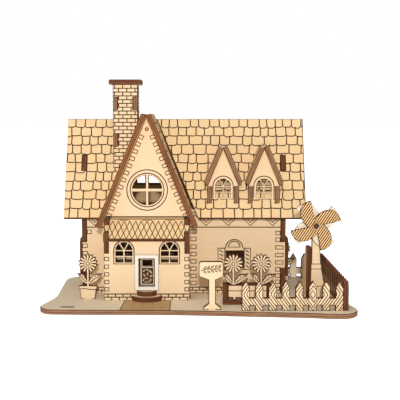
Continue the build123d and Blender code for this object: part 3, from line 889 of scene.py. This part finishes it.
leftMarks, rightMarks = slopeQuoins(gable["middle"], gable["apex"], gableQuoins)
gableRings = [ring(gable["middle"], gable["window"], radius) for radius in gable["rings"]]
gableRings += [ring(gable["middle"], *gable["eye"], 16)]
gableLedge = levels(*gable["ledgeEnds"], (gable["ledge"], ))
dressSheet("gable_wall", passes=(leftMarks, rightMarks, gableRings, gableLedge), width=gable["line"],
           rim=0.3, raster=onLedge)
print("porch and gable are engraved")

dormer = {"middles": {"left": 15.9, "right": 41.3}, "line": 0.62,
          "arch": {"sill": 61.6, "halfWidth": 6.3, "top": 77.6}}
for side, middle in dormer["middles"].items():
    dressSheet("dormer_" + side + "_wall", passes=([archLine(middle, **dormer["arch"])], ), edge="plank",
               width=dormer["line"], rim=0.16)
    dressSheet("dormer_" + side + "_cheek_left", azimuth=270, edge="plank")
    dressSheet("dormer_" + side + "_cheek_right", azimuth=90, edge="plank")
print("dormers are engraved")

# stripes from low to high, bent at fold; they point left before the border and right after it
fence = {"left": 24.5, "right": 84.5, "border": 66.7, "low": 2.5, "fold": 12.6, "high": 21,
         "step": 1.75, "slant": 0.72, "spare": 16, "round": 0.7, "line": 0.52,
         "stray": 0.22, "foldStray": 0.35, "slantStray": (0.97, 1.03)}


def bentStripes(spec):
    chance = random.Random(7)
    left, right, low, high = spec["left"], spec["right"], spec["low"], spec["high"]
    sides = []
    for sign, start, stop in ((1, left, spec["border"]), (-1, spec["border"], right)):
        stripes = []
        for n in range(-spec["spare"], int((right - left) / spec["step"]) + spec["spare"]):
            foot = left + n * spec["step"] + chance.uniform(-spec["stray"], spec["stray"])
            fold = spec["fold"] + chance.uniform(-spec["foldStray"], spec["foldStray"])
            heights = (high, (high + fold) / 2, fold + spec["round"], fold - spec["round"],
                       (fold + low) / 2, low)
            points = [(foot + sign * spec["slant"] * abs(v - fold) * chance.uniform(*spec["slantStray"]), v)
                      for v in heights]
            stripes += clipStroke(points, start, stop)
        sides.append(stripes)
    return sides


def clipStroke(points, left, right, least=1e-3, touching=1e-6):
    # the runs of a stroke between two upright borders
    runs = []
    for (u0, v0), (u1, v1) in zip(points, points[1:]):
        begin, end = 0.0, 1.0
        for limit, sign in ((left, 1), (right, -1)):
            first, second = sign * (u0 - limit), sign * (u1 - limit)
            if first < 0 and second < 0:
                end = -1.0
            elif first < 0:
                begin = max(begin, first / (first - second))
            elif second < 0:
                end = min(end, first / (first - second))
        if begin < end - least:
            near = (u0 + (u1 - u0) * begin, v0 + (v1 - v0) * begin)
            away = (u0 + (u1 - u0) * end, v0 + (v1 - v0) * end)
            if runs and math.dist(runs[-1][-1], near) < touching:
                runs[-1].append(away)
            else:
                runs.append([near, away])
    return runs


dressSheet("fence_front", passes=bentStripes(fence), width=fence["line"], rim=0.4)
# the fence's right end takes the dark ply as painted shade
dressSheet("fence_right", azimuth=90, face="paintedShadeDark", grainUp=True)
dressSheet("fence_back", azimuth=180, face="pale")

flower = {"petals": 14, "eye": 1.0, "petalLines": (1.85, 5.0), "line": 0.5, "rim": 0.36}
# how far the left and the right leaf reach and rise, then their lines in shares of that
leaf = {"sizes": {-1: (6.5, 6.7), 1: (9.0, 6.5)},
        "midrib": ((0.14, 0.14), (0.34, 0.34), (0.58, 0.58), (0.86, 0.86)),
        "marks": (((0.3, 0.5), (0.36, 0.6)), ((0.46, 0.66), (0.54, 0.76)), ((0.64, 0.78), (0.72, 0.86)))}
pots = {"stands": {"flower_pot_front": -67.1, "flower_pot_rear": 57.5}, "head": 25, "leafFoot": 12.4,
        "rimLine": ((-5.6, 9.2), (-2.8, 9.55), (0, 9.2), (2.8, 8.85), (5.6, 9.2))}
planter = {"stands": (21.4, 38.0), "head": 27, "leafFoot": 14.6, "rimLine": 11.4, "rimEnds": (17, 42),
           "line": 0.45}


def flowerStrokes(u, v):
    marks = [ring(u, v, flower["eye"], 20)]
    for n in range(flower["petals"]):
        turn = 2 * math.pi * (n + 0.5) / flower["petals"] + math.pi / 2
        marks.append([(u + r * math.cos(turn), v + r * math.sin(turn)) for r in flower["petalLines"]])
    return marks


def leafStrokes(u, v):
    marks = []
    for side, (reach, height) in leaf["sizes"].items():
        for stroke in (leaf["midrib"], *leaf["marks"]):
            marks.append([(u + side * reach * along, v + height * up) for along, up in stroke])
    return marks


for node, u in pots["stands"].items():
    rimLine = [(u + along, v) for along, v in pots["rimLine"]]
    dressSheet(node, passes=(flowerStrokes(u, pots["head"]) + leafStrokes(u, pots["leafFoot"]), [rimLine]),
               width=flower["line"], rim=flower["rim"])

heads, leaves = [], []
for u in planter["stands"]:
    heads += flowerStrokes(u, planter["head"])
    leaves += leafStrokes(u, planter["leafFoot"])
dressSheet("planter_flowers", passes=(heads, leaves), width=flower["line"], rim=flower["rim"])
dressSheet("planter_front", passes=(levels(*planter["rimEnds"], (planter["rimLine"], )), ),
           width=planter["line"])
dressSheet("planter_back", azimuth=180)
dressSheet("planter_left", azimuth=270)
dressSheet("planter_right", azimuth=90)
dressSheet("planter_bottom", slope=0)

# a plain sprig: a stem, and a leaf on each side of it at every place
sprig = {"u": 7.9, "v": 26.9, "stem": ((-5.8, -1.0), (-1.8, 0.1), (1.8, -0.1), (5.8, 1.0)),
         "places": (-4.2, -2.1, 0.0, 2.1, 4.2), "climb": 0.12,
         "leaf": ((0, 0.6), (0.4, 1.5), (1.5, 2.1), (1.2, 1.0), (0, 0.6)), "line": 0.5, "rim": 0.42}


def sprigStrokes(spec):
    u, v = spec["u"], spec["v"]
    stem = [(u + along, v + up) for along, up in spec["stem"]]
    leaves = []
    for place in spec["places"]:
        base = v + place * spec["climb"]
        for side in (-1, 1):
            leaves.append([(u + place + along, base + side * up) for along, up in spec["leaf"]])
    return [stem], leaves


dressSheet("sign_board", passes=sprigStrokes(sprig), width=sprig["line"], rim=sprig["rim"])
print("garden is planted")

mill = {"u": 69.3, "v": 50.7, "reach": 16, "stripe": 1.5, "lean": 0.66, "line": 0.62, "capRing": 1.0}
tower = {"left": 60, "right": 80, "levels": (13.6, 24.0, 27.0), "line": 0.42}
dressSheet("tower_front", passes=(levels(tower["left"], tower["right"], tower["levels"]), ),
           width=tower["line"], edge="plank")
dressSheet("tower_brace", azimuth=270)
bladeStripes = diagonals(mill["u"] - mill["reach"], mill["u"] + mill["reach"], mill["v"] - mill["reach"],
                         mill["v"] + mill["reach"], mill["stripe"], mill["lean"])
dressSheet("rotor_front", passes=(bladeStripes, ), width=mill["line"], rim=0.34, face="tan")
dressSheet("rotor_back", face="pale", rim=0.14)
capRing = ring(mill["u"], mill["v"], mill["capRing"], 20)
dressSheet("rotor_cap", face="dowel", edge="dowel", passes=([capRing], ), width=0.4, rim=0.45)
for slot in frame["nodes"]["rotor_axle"].material_slots:
    slot.material = woods["dowel"]

# the path is rastered darker wood, outlined, with rows of short marks
path = {"left": (-45.2, -44.2), "right": (-15.8, -16.2), "front": -66, "back": -22.5,
        "markColumns": (-38.2, -32.4, -26.6, -20.8), "markRows": (-63.0, -57.0, -51.0, -45.0, -39.0, -33.0),
        "mark": 0.9, "line": 0.6}


def onPath(point):
    return path["left"][0] < point.x / mm < path["right"][0] and point.y / mm < path["back"]


pathOutline = [(path["left"][0], path["front"]), (path["left"][1], path["back"]),
               (path["right"][1], path["back"]), (path["right"][0], path["front"])]
pathMarks = [[(u, v), (u, v + path["mark"])] for u in path["markColumns"] for v in path["markRows"]]
dressSheet("base_board", slope=0, face="board", edge="boardEdge", passes=([pathOutline] + pathMarks, ),
           width=path["line"], raster=onPath)
print("windmill and board are done")
